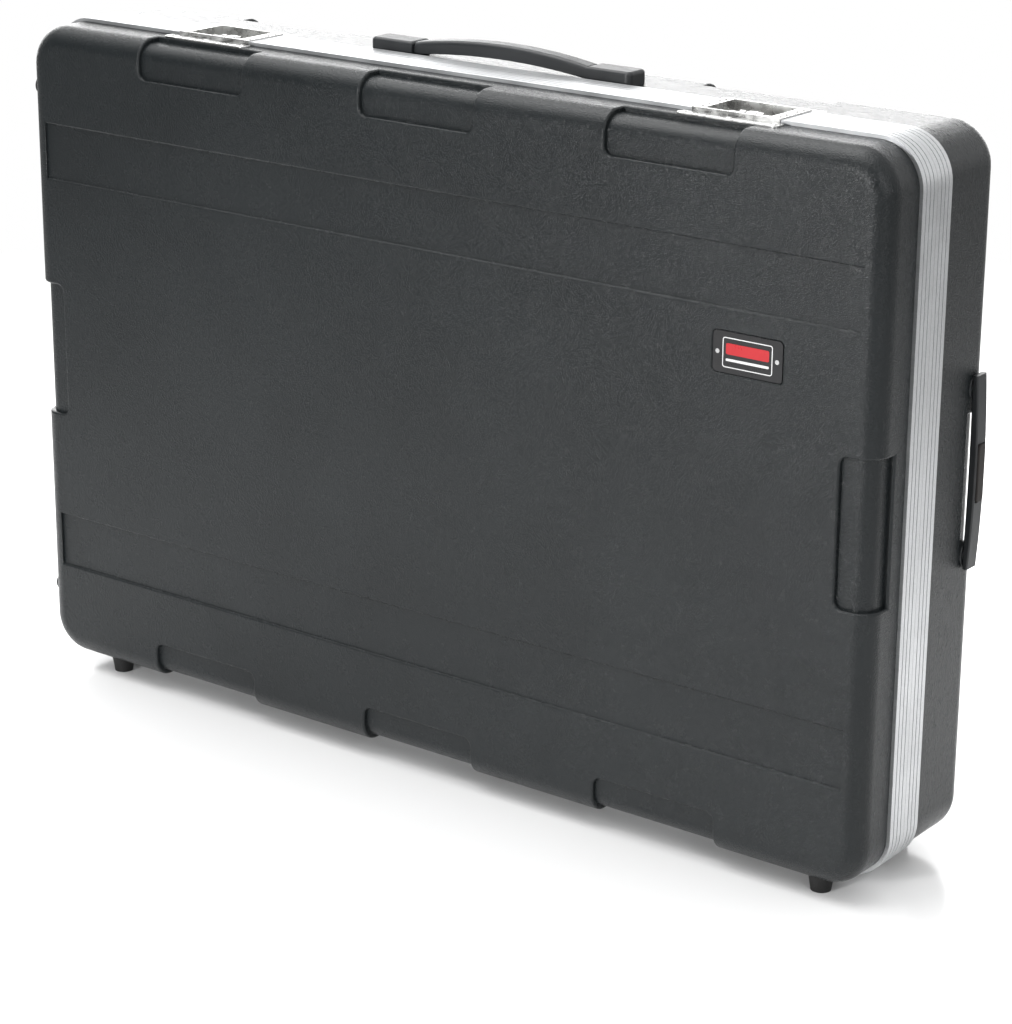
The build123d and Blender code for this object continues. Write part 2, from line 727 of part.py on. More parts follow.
# Tow handle through the base shell's right end
side_x = half_length
tow_outer_tubes, tow_inner_tubes, tow_bezels = [], [], []
cover_low = tow_z - tow_tube_spacing / 2 - tow_outer_radius - cover_rise
cover_high = tow_z + tow_tube_spacing / 2 + tow_outer_radius + cover_rise
cover_front = tow_y - tow_outer_radius - cover_wall - cover_room
cover_back = depth - wall - foam_gap
bracket_x0 = tow_tube_start - bracket_length / 3
bracket = block(bracket_x0, bracket_x0 + bracket_length, cover_front + cover_wall + foam_gap, cover_back,
                cover_low + cover_wall + cover_room, cover_high - cover_wall - cover_room)
grip_near = side_x + tow_bezel_thick + tow_grip_clear
grip_outer = side_x + tow_reach - button_proud
grip_inner = grip_outer - tow_grip_thick
end_outer = grip_near + tow_end_thick
span = tow_half - tow_end_run
tow_side = [Line((grip_near, tow_z - tow_half), (grip_near, tow_z - span)),
            ThreePointArc((grip_near, tow_z - span), (grip_inner, tow_z), (grip_near, tow_z + span)),
            Line((grip_near, tow_z + span), (grip_near, tow_z + tow_half)),
            Line((grip_near, tow_z + tow_half), (end_outer, tow_z + tow_half)),
            ThreePointArc((end_outer, tow_z + tow_half), (grip_outer, tow_z), (end_outer, tow_z - tow_half)),
            Line((end_outer, tow_z - tow_half), (grip_near, tow_z - tow_half))]
tow_outline = make_face(Wire([edge for line in tow_side for edge in line.edges()]))
tow_grip = prism_y(tow_outline, tow_y - tow_grip_width / 2, tow_y + tow_grip_width / 2)
tow_grip = fillet(tow_grip.edges().filter_by(GeomType.CIRCLE), tow_grip_round)
tube_end = grip_near + tow_end_thick - tow_tube_cover
seat_end = case_block(-tow_tube_fit, parting_y, 1) - pocket_windows(1, -tow_tube_fit)
seat_end += case_block(pocket_depth - tow_tube_fit, parting_y, 1)
for z in tow_tubes_z:
    outer = tow_outer_radius
    inner = tow_inner_radius
    tube = rod_x(outer, tow_tube_start, side_x + tow_bezel_thick, tow_y, z)
    tow_outer_tubes.append(tube - rod_x(inner + tow_tube_fit, 0, side_x + 20, tow_y, z))
    slider = rod_x(inner, tow_inner_start, tube_end, tow_y, z)
    tow_inner_tubes.append(slider - rod_x(inner - tow_tube_wall, 0, side_x + 50, tow_y, z))
    bezel = rod_x(tow_bezel_radius, side_x - pocket_depth - 1, side_x + tow_bezel_thick, tow_y, z)
    bezel = fillet(bezel.edges().group_by(Axis.X)[-1], tow_bezel_round)
    bezel -= rod_x(outer + drill_clearance, 0, side_x + 20, tow_y, z)
    tow_bezels.append(bezel - seat_end)
    base_shell -= rod_x(outer + drill_clearance, side_x - pocket_depth - 2 * wall, side_x + 5, tow_y, z)
    bracket -= rod_x(outer + drill_clearance, tow_tube_start, side_x, tow_y, z)
    tow_grip -= rod_x(inner + drill_clearance, 0, tube_end + tow_grip_clear, tow_y, z)
button_room = button_half + button_clear
room_floor = grip_inner + button_web
room_width = button_width / 2 + button_clear
tow_grip -= block(room_floor, side_x + 60, tow_y - room_width, tow_y + room_width,
                  tow_z - button_room, tow_z + button_room)
button_back = room_floor + button_travel + tow_grip_clear
button_line = RectangleRounded(2 * button_half, button_width, 4)
tow_button = Pos(button_back, tow_y, tow_z) * Rot(0, 90, 0) * extrude(
    button_line, amount=side_x + tow_reach - button_back)
tow_button = fillet(tow_button.faces().sort_by(Axis.X)[-1].edges(), 1.2)
spring_room = spring_radius + spring_wire + 0.7
tow_button -= rod_x(spring_room, button_back - 1, button_back + button_pocket, tow_y, tow_z)
save("tow_grip", tow_grip)
save("tow_button", tow_button)
save("tow_outer_tubes", *tow_outer_tubes)
save("tow_inner_tubes", *tow_inner_tubes)
save("tow_bezels", *tow_bezels)
save("tow_bracket", bracket)

coil_height = button_back + button_pocket - room_floor - 2 * tow_grip_clear
coil = Helix(pitch=spring_pitch, height=coil_height - 2 * spring_wire, radius=spring_radius)
coil_wire = sweep(Plane(coil @ 0, z_dir=coil % 0) * Circle(spring_wire), path=coil)
tow_spring = Pos(room_floor + tow_grip_clear + spring_wire, tow_y, tow_z) * Rot(0, 90, 0) * coil_wire
save("tow_button_spring", tow_spring)

cover_x0 = bracket_x0 - cover_wall - 3
cover_x1 = half_length - edge_radius
cover = block(cover_x0, cover_x1, cover_front, cover_back, cover_low, cover_high)
cover -= block(cover_x0 + cover_wall, cover_x1 + 1, cover_front + cover_wall, cover_back + 1,
               cover_low + cover_wall, cover_high - cover_wall)
save("tow_cover", cover)

# Wheels at the left end's back corners
keep_outs = []
for name, z in (("lower", -wheel_z), ("upper", wheel_z)):
    half_room = wheel_width / 2 + wheel_room
    half_out = half_room + housing_wall
    room_x1 = wheel_x + wheel_radius + wheel_room
    room_y0 = wheel_y - wheel_radius - wheel_room
    past = 30.0
    shape = block(-half_length - past, room_x1 + housing_wall, room_y0 - housing_wall, depth + past,
                  z - half_out, z + half_out)
    base_shell -= block(-half_length - past, room_x1 + housing_wall + housing_fit,
                        room_y0 - housing_wall - housing_fit, depth + past,
                        z - half_out - housing_fit, z + half_out + housing_fit)
    shape -= block(-half_length - past, room_x1, room_y0, depth + past, z - half_room, z + half_room)
    shape &= case_block(0, parting_y, 1)
    shape -= rod_z(axle_radius + axle_fit, wheel_x, wheel_y, z - 2 * half_out, z + 2 * half_out)
    save(f"wheel_housing_{name}", shape)
    save(f"wheel_axle_{name}", rod_z(axle_radius, wheel_x, wheel_y, z - half_out, z + half_out))
    hub = rod_z(hub_radius, wheel_x, wheel_y, z - wheel_width / 2, z + wheel_width / 2)
    for face_z in (z - wheel_width / 2, z + wheel_width / 2):
        dish = rod_z(hub_radius - hub_rim, wheel_x, wheel_y, face_z - hub_dish, face_z + hub_dish)
        hub -= dish - rod_z(hub_boss, wheel_x, wheel_y, face_z - hub_dish - 1, face_z + hub_dish + 1)
    hub -= rod_z(axle_radius + running_clearance, wheel_x, wheel_y, z - wheel_width, z + wheel_width)
    save(f"wheel_hub_{name}", hub)
    tyre = rod_z(wheel_radius, wheel_x, wheel_y, z - wheel_width / 2, z + wheel_width / 2)
    tyre = fillet(tyre.edges(), tyre_round)
    tyre -= rod_z(hub_radius + drill_clearance, wheel_x, wheel_y, z - wheel_width, z + wheel_width)
    save(f"wheel_tyre_{name}", tyre)
    keep_outs.append(block(-half_length - past, room_x1 + housing_wall + 1, room_y0 - housing_wall - 1,
                           depth + past, z - half_out - 1, z + half_out + 1))

# Foam lining
foam_back = depth - wall - pocket_depth - foam_gap
floor_front = foam_back - floor_foam
keep_outs.append(block(cover_x0 - 1, half_length, cover_front - 1, depth, cover_low - 1, cover_high + 1))
floor_outset = -(edge_radius + foam_gap)
foam_floor = prism_y(case_outline(floor_outset), floor_front, foam_back) - keep_outs
save("base_foam_floor", foam_floor)
latch_room = [block(x - 40, x + 40, parting_y, valance_back + 8, dish_under - 12, plate_top)
              for x in latch_places]
walls_front = joint_base_y + base_web
foam_walls = ring(-foam_clear, -foam_clear - foam_wall, walls_front, floor_front - foam_gap)
save("base_foam_walls", foam_walls - keep_outs - latch_room)
lid_foam_front = wall + pocket_depth + foam_gap
save("lid_foam_pad", prism_y(case_outline(floor_outset), lid_foam_front, lid_foam_front + lid_foam))

save("lid_shell", lid_shell)
save("base_shell", base_shell)
save("lid_valance", lid_valance)
save("base_valance", base_valance)
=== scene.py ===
"""Moulded mixer case: finishes, softened shells, foam lining, rivets, badge, studio and camera."""
import json
import math

import bmesh
import bpy
from mathutils import Matrix, Vector


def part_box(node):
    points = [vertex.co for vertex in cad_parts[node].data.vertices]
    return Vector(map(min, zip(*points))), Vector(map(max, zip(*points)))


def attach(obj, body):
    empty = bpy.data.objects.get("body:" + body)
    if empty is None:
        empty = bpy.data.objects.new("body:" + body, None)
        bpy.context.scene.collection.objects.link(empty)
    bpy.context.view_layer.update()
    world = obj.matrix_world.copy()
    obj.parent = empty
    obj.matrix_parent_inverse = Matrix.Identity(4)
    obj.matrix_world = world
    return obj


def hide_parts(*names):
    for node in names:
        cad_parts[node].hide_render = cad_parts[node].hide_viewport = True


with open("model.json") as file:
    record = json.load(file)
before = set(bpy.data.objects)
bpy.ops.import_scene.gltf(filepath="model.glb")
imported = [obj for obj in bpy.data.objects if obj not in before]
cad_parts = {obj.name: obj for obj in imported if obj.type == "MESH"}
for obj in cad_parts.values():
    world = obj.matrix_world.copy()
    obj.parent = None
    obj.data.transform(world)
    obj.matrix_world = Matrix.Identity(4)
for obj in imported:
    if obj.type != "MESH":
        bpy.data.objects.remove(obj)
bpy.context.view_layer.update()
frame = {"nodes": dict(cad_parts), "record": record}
MM = 0.001
SLOT_OF = {part["node"]: part["material_slot"] for part in frame["record"]["subparts"]}
BODY_OF = {node: body for body, nodes in frame["record"]["behaviour"]["bodies"].items() for node in nodes}

# Sizes of the details that are made here
SHELL_EDGE = 2.3 * MM
SHELL_SHARP = math.radians(28)
CORNER_RADIUS = 40 * MM
RIM_RADIUS = 21 * MM
SKIN = 0.4 * MM
PARTING_CLEAR = 4 * MM
BEVEL_STEPS = 3
BEVEL_SHARP = math.radians(32)
FOAM_PITCH = 38 * MM
FOAM_PEAK = 11 * MM
FOAM_STEPS = 8
FOAM_CORNER = 18.7 * MM
FOAM_SHARP = math.radians(60)
BLOCK_EDGE = 2.2 * MM
BLOCK_SHARP = math.radians(50)
BLOCK_SHORTEST = 8 * MM
RIVET_HEAD = 2.7 * MM
RIVET_DOME = 1.1 * MM
RIVET_SHANK = 1.6 * MM
RIVET_GRIP = 5 * MM
RIVET_TAIL = 1 * MM
RIVET_SHARP = math.radians(40)

# Places of the rivets, from the middle of a latch or hinge and from the parting plane
DISH_RIVET_ALONG = 46 * MM
DISH_RIVET_OUT = 36 * MM
FLANGE_RIVET_ALONG = 39.8 * MM
FLANGE_RIVET_OUT = (8.5 * MM, 18.5 * MM)
LATCH_SHEET = 1.2 * MM
LATCH_GRIP = 5.2 * MM
HINGE_RIVET_ALONG = 28 * MM
HINGE_RIVET_OUT = 12.25 * MM
HINGE_SHEET = 2 * MM
HINGE_GRIP = 11.7 * MM

# Face of the badge
BADGE_PROUD = 0.25 * MM
BADGE_MARK_THICK = 0.4 * MM
LEAST_ROUND = 0.2 * MM


# Node helpers
def new_material(name):
    """Node material with no nodes yet."""
    material = bpy.data.materials.new(name)
    material.use_nodes = True
    material.node_tree.nodes.clear()
    return material


def add(tree, kind, **values):
    """Node with its socket values and properties set by name."""
    node = tree.nodes.new(kind)
    for key, value in values.items():
        if hasattr(node, key) and key not in node.inputs:
            setattr(node, key, value)
        else:
            node.inputs[key.replace("_", " ") if key not in node.inputs else key].default_value = value
    return node


def object_coords(tree, scale=(1, 1, 1)):
    """Object coordinates, stretched by scale."""
    coords = add(tree, "ShaderNodeTexCoord")
    mapping = add(tree, "ShaderNodeMapping")
    mapping.inputs["Scale"].default_value = scale
    tree.links.new(coords.outputs["Object"], mapping.inputs["Vector"])
    return mapping.outputs["Vector"]


def noise(tree, vector, scale, detail=3.0, roughness=0.55):
    """Noise value between 0 and 1."""
    node = add(tree, "ShaderNodeTexNoise", Scale=scale, Detail=detail, Roughness=roughness)
    tree.links.new(vector, node.inputs["Vector"])
    return node.outputs["Fac"]


def cells(tree, vector, scale, smooth=0.6):
    """Rounded pebbles, as distance to the nearest cell centre."""
    node = add(tree, "ShaderNodeTexVoronoi", feature="SMOOTH_F1", Scale=scale, Smoothness=smooth)
    tree.links.new(vector, node.inputs["Vector"])
    return node.outputs["Distance"]


def spread(tree, value, low, high, start=0.35, stop=0.65):
    """Value remapped to the range low to high."""
    node = add(tree, "ShaderNodeMapRange")
    node.inputs["From Min"].default_value = start
    node.inputs["From Max"].default_value = stop
    node.inputs["To Min"].default_value = low
    node.inputs["To Max"].default_value = high
    tree.links.new(value, node.inputs["Value"])
    return node.outputs["Result"]


def tint(tree, value, dark, light):
    """Colour between dark and light by value."""
    node = add(tree, "ShaderNodeMix", data_type="RGBA")
    tree.links.new(value, node.inputs["Factor"])
    node.inputs[6].default_value = (*dark, 1)
    node.inputs[7].default_value = (*light, 1)
    return node.outputs[2]


def bump(tree, height, strength, distance, under=None):
    """Bump normal from a height, over an earlier one."""
    node = add(tree, "ShaderNodeBump", Strength=strength, Distance=distance)
    tree.links.new(height, node.inputs["Height"])
    if under is not None:
        tree.links.new(under, node.inputs["Normal"])
    return node.outputs["Normal"]


def surface(tree, colour, rough, normal=None, metallic=0.0, specular=0.5, sheen=0.0):
    """Principled surface to the output; colour and rough are sockets."""
    shader = add(tree, "ShaderNodeBsdfPrincipled")
    shader.inputs["Metallic"].default_value = metallic
    shader.inputs["Specular IOR Level"].default_value = specular
    shader.inputs["Sheen Weight"].default_value = sheen
    tree.links.new(colour, shader.inputs["Base Color"])
    tree.links.new(rough, shader.inputs["Roughness"])
    if normal is not None:
        tree.links.new(normal, shader.inputs["Normal"])
    output = add(tree, "ShaderNodeOutputMaterial")
    tree.links.new(shader.outputs["BSDF"], output.inputs["Surface"])


# Finishes
def moulded_plastic(name, dark, light, grain, depth, rough, scuffs=0.05, specular=0.5):
    """Pebble-grained plastic with faint scuffs and uneven gloss."""
    material = new_material(name)
    tree = material.node_tree
    at = object_coords(tree)
    pebbles = cells(tree, at, grain)
    fine = noise(tree, at, grain * 2.2, 2)
    patches = noise(tree, at, 7, 4)
    rubbed = noise(tree, object_coords(tree, (1, 4, 1)), 60, 6, 0.7)
    colour = tint(tree, spread(tree, patches, 0, 1), dark, light)
    gloss = spread(tree, rubbed, rough - scuffs, rough + scuffs)
    grained = bump(tree, pebbles, 0.55, depth)
    surface(tree, colour, gloss, bump(tree, fine, 0.3, depth * 0.5, grained), specular=specular)
    return material


def drawn_metal(name, dark, light, rough, along=(3, 900, 900), scratch=0.12, metallic=1.0):
    """Metal with fine lines along its length and faint smudges."""
    material = new_material(name)
    tree = material.node_tree
    lines = noise(tree, object_coords(tree, along), 1.0, 4, 0.65)
    smudge = noise(tree, object_coords(tree), 22, 4)
    colour = tint(tree, spread(tree, lines, 0, 1), dark, light)
    gloss = spread(tree, smudge, rough - 0.05, rough + 0.08)
    surface(tree, colour, gloss, bump(tree, lines, scratch, 0.00008), metallic)
    return material


def plated_metal(name, dark, light, rough):
    """Bright plate with orange peel and finger smudges."""
    material = new_material(name)
    tree = material.node_tree
    at = object_coords(tree)
    peel = noise(tree, at, 420, 3)
    smudge = noise(tree, at, 65, 5, 0.65)
    colour = tint(tree, spread(tree, smudge, 0, 1), dark, light)
    gloss = spread(tree, smudge, rough * 0.7, rough * 1.8)
    surface(tree, colour, gloss, bump(tree, peel, 0.12, 0.0001), 1.0)
    return material


def soft_rubber(name, dark, light, rough, grain=900):
    """Dull rubber with a powdery fine grain."""
    material = new_material(name)
    tree = material.node_tree
    at = object_coords(tree)
    fine = noise(tree, at, grain, 3)
    dust = noise(tree, at, 45, 5, 0.7)
    colour = tint(tree, spread(tree, dust, 0, 1), dark, light)
    surface(tree, colour, spread(tree, dust, rough - 0.08, rough + 0.08), bump(tree, fine, 0.4, 0.00015),
            specular=0.3)
    return material


def open_foam(name):
    """Charcoal foam with small round pores, each darkened towards its middle as painted shade, under a random
    cloud of tone.
    """
    material = new_material(name)
    tree = material.node_tree
    at = object_coords(tree)
    pores = cells(tree, at, 620, 0.2)
    cloud = noise(tree, at, 26, 5, 0.7)
    # Pore middles darkened to a quarter: painted shade in the pores, times the cloud's random tone
    shade = add(tree, "ShaderNodeMath", operation="MULTIPLY")
    tree.links.new(spread(tree, pores, 0.25, 1, 0.0, 0.55), shade.inputs[0])
    tree.links.new(spread(tree, cloud, 0.7, 1), shade.inputs[1])
    colour = tint(tree, shade.outputs[0], (0.016, 0.016, 0.018), (0.062, 0.062, 0.067))
    surface(tree, colour, spread(tree, cloud, 0.86, 0.97), bump(tree, pores, 0.8, 0.0006), specular=0.12,
            sheen=0.25)
    return material


CHARCOAL = ((0.0100, 0.0122, 0.0132), (0.0130, 0.0156, 0.0168))
FINISH = {
    "shell_plastic": moulded_plastic("charcoal_shell_plastic", *CHARCOAL, 900, 0.0006, 0.25, specular=0.3),
    "edge_aluminium": drawn_metal("satin_edge_aluminium", (0.52, 0.53, 0.54), (0.62, 0.63, 0.64), 0.36,
                                  metallic=0.85),
    "latch_nickel": plated_metal("latch_nickel_plate", (0.60, 0.60, 0.59), (0.74, 0.74, 0.73), 0.22),
    "rivet_nickel": plated_metal("rivet_nickel_plate", (0.55, 0.55, 0.54), (0.72, 0.72, 0.71), 0.2),
    "hinge_steel": drawn_metal("zinc_hinge_steel", (0.45, 0.46, 0.47), (0.62, 0.63, 0.64), 0.32,
                               (8, 700, 700)),
    "foam": open_foam("charcoal_open_foam"),
    "handle_plastic": moulded_plastic("handle_moulding", (0.012, 0.0135, 0.015), (0.018, 0.020, 0.022), 1100,
                                      0.00016, 0.42),
    "screw_steel": plated_metal("zinc_screw_steel", (0.42, 0.43, 0.44), (0.58, 0.58, 0.58), 0.3),
    "button_rubber": soft_rubber("button_rubber", (0.020, 0.017, 0.016), (0.032, 0.028, 0.026), 0.62),
    "tube_aluminium": drawn_metal("anodised_tube", (0.42, 0.43, 0.44), (0.58, 0.59, 0.60), 0.28,
                                  (4, 800, 800)),
    "inner_plastic": moulded_plastic("inner_moulding", (0.020, 0.020, 0.021), (0.028, 0.028, 0.030), 800,
                                     0.00015, 0.5),
    "hub_plastic": moulded_plastic("wheel_hub_moulding", (0.085, 0.086, 0.090), (0.11, 0.11, 0.115), 900,
                                   0.0001, 0.4),
    "tyre_rubber": soft_rubber("tyre_rubber", (0.016, 0.016, 0.016), (0.035, 0.034, 0.033), 0.72, 700),
    "foot_rubber": soft_rubber("foot_rubber", (0.010, 0.010, 0.010), (0.020, 0.020, 0.020), 0.6),
    "badge": moulded_plastic("badge_panel", (0.010, 0.010, 0.011), (0.014, 0.014, 0.015), 1500, 0.00004, 0.3),
    "badge_rivet": plated_metal("badge_rivet_plate", (0.6, 0.6, 0.6), (0.75, 0.75, 0.75), 0.15),
}
BADGE_RED = moulded_plastic("badge_red_enamel", (0.42, 0.012, 0.018), (0.50, 0.020, 0.026), 1400,
                            0.00003, 0.3)
BADGE_WHITE = moulded_plastic("badge_white_enamel", (0.68, 0.68, 0.68), (0.78, 0.78, 0.78), 1400,
                              0.00003, 0.32)


def finish_cad_nodes():
    """Give every carried-over node its procedural finish."""
    for node, piece in frame["nodes"].items():
        piece.data.materials.clear()
        piece.data.materials.append(FINISH[SLOT_OF[node]])


def finished(piece, node):
    """Make a new piece stand for a node: same body, and the finish of the node's slot."""
    if not piece.data.materials:
        piece.data.materials.append(FINISH[SLOT_OF[node]])
    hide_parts(node)
    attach(piece, BODY_OF[node])
    return piece


def link_mesh(name, mesh):
    """Object at the origin for a finished mesh."""
    piece = bpy.data.objects.new(name, mesh)
    bpy.context.scene.collection.objects.link(piece)
    return piece


# Softened copies of moulded pieces
def evenly_shaded(name, mesh, sharp):
    """Piece whose normals follow its widest faces, so that flat areas look flat."""
    for face in mesh.polygons:
        face.use_smooth = True
    mesh.set_sharp_from_angle(angle=sharp)
    holder = link_mesh(name + "_holder", mesh)
    weighted = holder.modifiers.new("weighted", "WEIGHTED_NORMAL")
    weighted.mode = "FACE_AREA"
    weighted.weight = 50
    weighted.keep_sharp = True
    bpy.context.view_layer.update()
    ready = holder.evaluated_get(bpy.context.evaluated_depsgraph_get())
    shaded = bpy.data.meshes.new_from_object(ready)
    shaded.name = name
    bpy.data.objects.remove(holder)
    return link_mesh(name, shaded)


def merged(node):
    """Closed mesh of a node with its flat areas joined into single faces."""
    shape = bmesh.new()
    shape.from_mesh(frame["nodes"][node].data)
    bmesh.ops.remove_doubles(shape, verts=shape.verts, dist=2e-6)
    bmesh.ops.dissolve_limit(shape, angle_limit=math.radians(0.6), verts=shape.verts, edges=shape.edges,
                             delimit={"NORMAL"})
    return shape


def softened(name, node, width, outside, sharp=SHELL_SHARP, shortest=0.2 * MM, clamp=False):
    """Copy of a node whose sharp convex edges, where outside allows, are rounded to width."""
    shape = merged(node)
    edges = [edge for edge in shape.edges if len(edge.link_faces) == 2 and edge.is_convex
             and edge.calc_face_angle(0) > sharp and edge.calc_length() > shortest
             and outside((edge.verts[0].co + edge.verts[1].co) / 2)]
    bmesh.ops.bevel(shape, geom=edges, offset=width, offset_type="OFFSET", segments=BEVEL_STEPS, profile=0.5,
                    affect="EDGES", clamp_overlap=clamp)
    mesh = bpy.data.meshes.new(name)
    shape.to_mesh(mesh)
    shape.free()
    return finished(evenly_shaded(name, mesh, BEVEL_SHARP), node)


def soften_shells():
    """Round the edges of the pockets and bands, as moulding leaves them."""
    shells = (("lid_shell_moulding", "lid_shell", -1), ("base_shell_moulding", "base_shell", 1))
    for name, node, face_side in shells:
        low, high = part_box(node)
        face_y, edge_y = (low.y, high.y) if face_side < 0 else (high.y, low.y)
        middle, half = (low + high) / 2, (high - low) / 2

        def outside(at, middle=middle, half=half, face_y=face_y, edge_y=edge_y):
            """Whether a point is on the shell's outer rounded box and clear of the parting edge."""
            over_x = abs(at.x - middle.x) - half.x + CORNER_RADIUS
            over_z = abs(at.z - middle.z) - half.z + CORNER_RADIUS
            side = min(max(over_x, over_z), 0) + math.hypot(max(over_x, 0), max(over_z, 0)) - CORNER_RADIUS
            a, b = side + RIM_RADIUS, RIM_RADIUS - abs(at.y - face_y)
            depth = min(max(a, b), 0) + math.hypot(max(a, 0), max(b, 0)) - RIM_RADIUS
            return abs(depth) < SKIN and abs(at.y - edge_y) > PARTING_CLEAR

        softened(name, node, SHELL_EDGE, outside)


# Foam lining
def foam_lines(low, high, cut_edges):
    """Grid lines along one axis, the nearest one moved to each place where a cut-out begins or ends."""
    count = max(1, round((high - low) / FOAM_PITCH)) * FOAM_STEPS
    lines = [low + (high - low) * step / count for step in range(count + 1)]
    for edge in cut_edges:
        if low < edge < high:
            nearest = min(range(1, count), key=lambda index: abs(lines[index] - edge))
            lines[nearest] = edge
    return lines


def foam_sheet(name, node, face_side, cuts):
    """Foam pad with rounded peaks and valleys on its open side, cut round what it clears."""
    low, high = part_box(node)
    back_y, face_y = (low.y, high.y) if face_side > 0 else (high.y, low.y)
    xs = foam_lines(low.x, high.x, [edge for cut in cuts for edge in cut[:2]])
    zs = foam_lines(low.z, high.z, [edge for cut in cuts for edge in cut[2:]])
    middle = (low + high) / 2
    half_x, half_z = (high.x - low.x) / 2 - FOAM_CORNER, (high.z - low.z) / 2 - FOAM_CORNER

    def rounded(x, z):
        """The point, drawn in to the rounded corner where it is past it."""
        over_x, over_z = abs(x - middle.x) - half_x, abs(z - middle.z) - half_z
        reach = math.hypot(max(over_x, 0), max(over_z, 0))
        if over_x <= 0 or over_z <= 0 or reach <= FOAM_CORNER:
            return x, z
        pull = FOAM_CORNER / reach
        return (middle.x + math.copysign(half_x + over_x * pull, x - middle.x),
                middle.z + math.copysign(half_z + over_z * pull, z - middle.z))

    def height(x, z):
        """Surface of the open side: peaks that flatten towards the pad's rim."""
        wave = math.cos(math.tau * (x - low.x) / FOAM_PITCH) * math.cos(math.tau * (z - low.z) / FOAM_PITCH)
        edge = min(x - low.x, high.x - x, z - low.z, high.z - z)
        flat = min(1.0, edge / (0.5 * FOAM_PITCH))
        return face_y - face_side * FOAM_PEAK * (0.5 - 0.5 * wave) * flat

    shape = bmesh.new()
    tops, bottoms = {}, {}

    def corner(store, i, j, top):
        if (i, j) not in store:
            x, z = rounded(xs[i], zs[j])
            store[i, j] = shape.verts.new((x, height(x, z) if top else back_y, z))
        return store[i, j]

    kept = set()
    for i in range(len(xs) - 1):
        for j in range(len(zs) - 1):
            x, z = (xs[i] + xs[i + 1]) / 2, (zs[j] + zs[j + 1]) / 2
            if not any(c[0] < x < c[1] and c[2] < z < c[3] for c in cuts):
                kept.add((i, j))
    for i, j in sorted(kept):
        ring = [(i, j), (i + 1, j), (i + 1, j + 1), (i, j + 1)]
        shape.faces.new([corner(tops, a, b, True) for a, b in ring])
        shape.faces.new([corner(bottoms, a, b, False) for a, b in reversed(ring)])
        sides = zip(ring, ring[1:] + ring[:1])
        beside = ((i, j - 1), (i + 1, j), (i, j + 1), (i - 1, j))
        for (a, b), near in zip(sides, beside):
            if near not in kept:
                shape.faces.new([corner(tops, *b, True), corner(tops, *a, True),
                                 corner(bottoms, *a, False), corner(bottoms, *b, False)])
    bmesh.ops.recalc_face_normals(shape, faces=shape.faces)
    mesh = bpy.data.meshes.new(name)
    shape.to_mesh(mesh)
    shape.free()
    for face in mesh.polygons:
        face.use_smooth = True
    mesh.set_sharp_from_angle(angle=FOAM_SHARP)
    piece = finished(link_mesh(name, mesh), node)


def line_with_foam():
    """Peaked foam in the lid and on the base's floor, and soft-edged blocks round its walls."""
    foam_sheet("lid_foam_peaks", "lid_foam_pad", 1, [])
    cover_low, cover_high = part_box("tow_cover")
    gap = 1 * MM
    beyond = 0.1
    cuts = [(cover_low.x - gap, cover_high.x + beyond, cover_low.z - gap, cover_high.z + gap)]
    for housing in ("wheel_housing_lower", "wheel_housing_upper"):
        low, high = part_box(housing)
        cuts.append((low.x - beyond, high.x + gap, low.z - gap, high.z + gap))
    foam_sheet("base_floor_foam_peaks", "base_foam_floor", -1, cuts)
    walls = softened("base_wall_foam", "base_foam_walls", BLOCK_EDGE, lambda at: True, sharp=BLOCK_SHARP,
                     shortest=BLOCK_SHORTEST, clamp=True)


